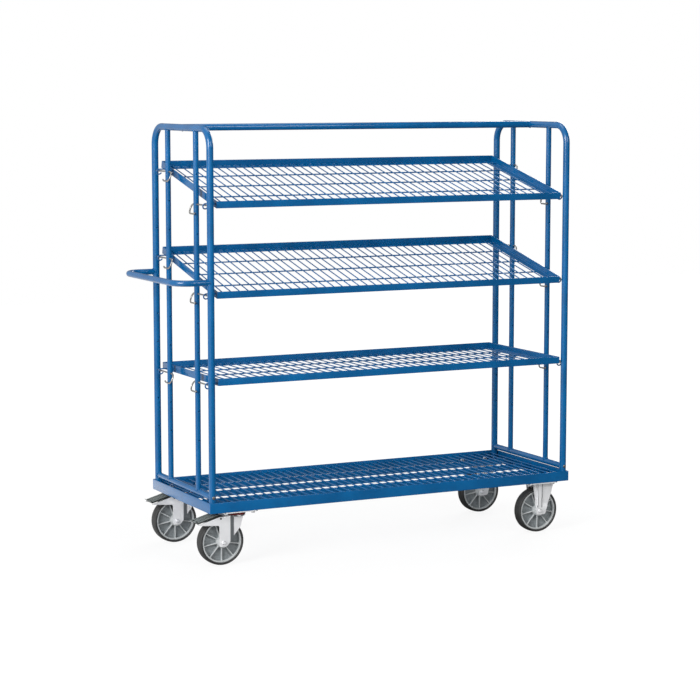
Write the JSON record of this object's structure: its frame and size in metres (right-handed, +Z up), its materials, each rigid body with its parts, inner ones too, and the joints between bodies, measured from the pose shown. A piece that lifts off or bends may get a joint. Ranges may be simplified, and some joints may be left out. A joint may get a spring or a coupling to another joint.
{
  "type": "shelf trolley",
  "caption": "Wheeled shelf trolley with tubular end frames, a push handle and wire shelves hung level or tilted on wire pins.",
  "frame": {"origin": "on the floor, in the middle of the area that the trolley covers", "axes": "+Z up; +X along the trolley, away from the push handle; +Y towards the raised edges of the tilted shelves"},
  "size_m": [1.621, 0.555, 1.575],
  "materials": {
    "blue_paint": "gloss",
    "zinc": "satin",
    "tyre_rubber": "matte",
    "grey_plastic": "satin",
    "black_steel": "satin",
    "red_plastic": "satin"
  },
  "bodies": {
    "chassis": {"base_frame": "blue_paint", "deck_grid": "blue_paint", "deck_bearer_front": "blue_paint", "deck_bearer_rear": "blue_paint", "tie_tube": "blue_paint", "push_handle": "blue_paint", "end_hoop_left": "blue_paint", "foot_tube_left": "blue_paint", "upright_left_front": "blue_paint", "foot_bolt_left_front": "zinc", "upright_left_rear": "blue_paint", "foot_bolt_left_rear": "zinc", "end_hoop_right": "blue_paint", "foot_tube_right": "blue_paint", "upright_right_front": "blue_paint", "foot_bolt_right_front": "zinc", "upright_right_rear": "blue_paint", "foot_bolt_right_rear": "zinc", "caster_plate_left_front": "zinc", "dust_ring_left_front": "red_plastic", "fixed_fork_right_front": "zinc", "axle_right_front": "zinc", "caster_plate_left_rear": "zinc", "dust_ring_left_rear": "red_plastic", "fixed_fork_right_rear": "zinc", "axle_right_rear": "zinc"},
    "caster_front": {"swivel_fork_left_front": "zinc", "axle_left_front": "zinc"},
    "wheel_left_front": {"rim_left_front": "grey_plastic", "tyre_left_front": "tyre_rubber"},
    "wheel_right_front": {"rim_right_front": "grey_plastic", "tyre_right_front": "tyre_rubber"},
    "brake_front": {"brake_pedal_left_front": "black_steel"},
    "caster_rear": {"swivel_fork_left_rear": "zinc", "axle_left_rear": "zinc"},
    "wheel_left_rear": {"rim_left_rear": "grey_plastic", "tyre_left_rear": "tyre_rubber"},
    "wheel_right_rear": {"rim_right_rear": "grey_plastic", "tyre_right_rear": "tyre_rubber"},
    "brake_rear": {"brake_pedal_left_rear": "black_steel"},
    "shelf_lower": {"shelf_frame_lower": "blue_paint", "shelf_grid_lower": "blue_paint"},
    "pin_lower_left_front": {"shelf_pin_lower_left_front": "zinc"},
    "pin_lower_left_rear": {"shelf_pin_lower_left_rear": "zinc"},
    "pin_lower_right_front": {"shelf_pin_lower_right_front": "zinc"},
    "pin_lower_right_rear": {"shelf_pin_lower_right_rear": "zinc"},
    "shelf_middle": {"shelf_frame_middle": "blue_paint", "shelf_grid_middle": "blue_paint"},
    "pin_middle_left_front": {"shelf_pin_middle_left_front": "zinc"},
    "pin_middle_left_rear": {"shelf_pin_middle_left_rear": "zinc"},
    "pin_middle_right_front": {"shelf_pin_middle_right_front": "zinc"},
    "pin_middle_right_rear": {"shelf_pin_middle_right_rear": "zinc"},
    "shelf_upper": {"shelf_frame_upper": "blue_paint", "shelf_grid_upper": "blue_paint"},
    "pin_upper_left_front": {"shelf_pin_upper_left_front": "zinc"},
    "pin_upper_left_rear": {"shelf_pin_upper_left_rear": "zinc"},
    "pin_upper_right_front": {"shelf_pin_upper_right_front": "zinc"},
    "pin_upper_right_rear": {"shelf_pin_upper_right_rear": "zinc"}
  },
  "joints": [
    {"name": "swivel_front", "type": "hinge", "parent": "chassis", "child": "caster_front", "pos_m": [-0.5675, -0.2215, 0.185], "axis": [0, 0, 1], "continuous": true},
    {"name": "spin_left_front", "type": "hinge", "parent": "caster_front", "child": "wheel_left_front", "pos_m": [-0.6275, -0.2215, 0.085], "axis": [0, 1, 0], "continuous": true},
    {"name": "spin_right_front", "type": "hinge", "parent": "chassis", "child": "wheel_right_front", "pos_m": [0.6965, -0.2215, 0.085], "axis": [0, 1, 0], "continuous": true},
    {"name": "press_brake_front", "type": "hinge", "parent": "caster_front", "child": "brake_front", "pos_m": [-0.6385, -0.2215, 0.1735], "axis": [0, -1, 0], "range_deg": [0, 14]},
    {"name": "swivel_rear", "type": "hinge", "parent": "chassis", "child": "caster_rear", "pos_m": [-0.5675, 0.2215, 0.185], "axis": [0, 0, 1], "continuous": true},
    {"name": "spin_left_rear", "type": "hinge", "parent": "caster_rear", "child": "wheel_left_rear", "pos_m": [-0.6275, 0.2215, 0.085], "axis": [0, 1, 0], "continuous": true},
    {"name": "spin_right_rear", "type": "hinge", "parent": "chassis", "child": "wheel_right_rear", "pos_m": [0.6965, 0.2215, 0.085], "axis": [0, 1, 0], "continuous": true},
    {"name": "press_brake_rear", "type": "hinge", "parent": "caster_rear", "child": "brake_rear", "pos_m": [-0.6385, 0.2215, 0.1735], "axis": [0, -1, 0], "range_deg": [0, 14]},
    {"name": "lift_lower", "type": "slide", "parent": "chassis", "child": "shelf_lower", "axis": [0, 0, 1], "range_m": [0, 0.006]},
    {"name": "pull_lower_left_front", "type": "slide", "parent": "chassis", "child": "pin_lower_left_front", "axis": [0, 1, 0], "range_m": [0, 0.075]},
    {"name": "pull_lower_left_rear", "type": "slide", "parent": "chassis", "child": "pin_lower_left_rear", "axis": [0, -1, 0], "range_m": [0, 0.075]},
    {"name": "pull_lower_right_front", "type": "slide", "parent": "chassis", "child": "pin_lower_right_front", "axis": [0, 1, 0], "range_m": [0, 0.075]},
    {"name": "pull_lower_right_rear", "type": "slide", "parent": "chassis", "child": "pin_lower_right_rear", "axis": [0, -1, 0], "range_m": [0, 0.075]},
    {"name": "lift_middle", "type": "slide", "parent": "chassis", "child": "shelf_middle", "axis": [0, 0, 1], "range_m": [0, 0.006]},
    {"name": "pull_middle_left_front", "type": "slide", "parent": "chassis", "child": "pin_middle_left_front", "axis": [0, 1, 0], "range_m": [0, 0.075]},
    {"name": "pull_middle_left_rear", "type": "slide", "parent": "chassis", "child": "pin_middle_left_rear", "axis": [0, -1, 0], "range_m": [0, 0.075]},
    {"name": "pull_middle_right_front", "type": "slide", "parent": "chassis", "child": "pin_middle_right_front", "axis": [0, 1, 0], "range_m": [0, 0.075]},
    {"name": "pull_middle_right_rear", "type": "slide", "parent": "chassis", "child": "pin_middle_right_rear", "axis": [0, -1, 0], "range_m": [0, 0.075]},
    {"name": "lift_upper", "type": "slide", "parent": "chassis", "child": "shelf_upper", "axis": [0, 0, 1], "range_m": [0, 0.006]},
    {"name": "pull_upper_left_front", "type": "slide", "parent": "chassis", "child": "pin_upper_left_front", "axis": [0, 1, 0], "range_m": [0, 0.075]},
    {"name": "pull_upper_left_rear", "type": "slide", "parent": "chassis", "child": "pin_upper_left_rear", "axis": [0, -1, 0], "range_m": [0, 0.075]},
    {"name": "pull_upper_right_front", "type": "slide", "parent": "chassis", "child": "pin_upper_right_front", "axis": [0, 1, 0], "range_m": [0, 0.075]},
    {"name": "pull_upper_right_rear", "type": "slide", "parent": "chassis", "child": "pin_upper_right_rear", "axis": [0, -1, 0], "range_m": [0, 0.075]}
  ]
}
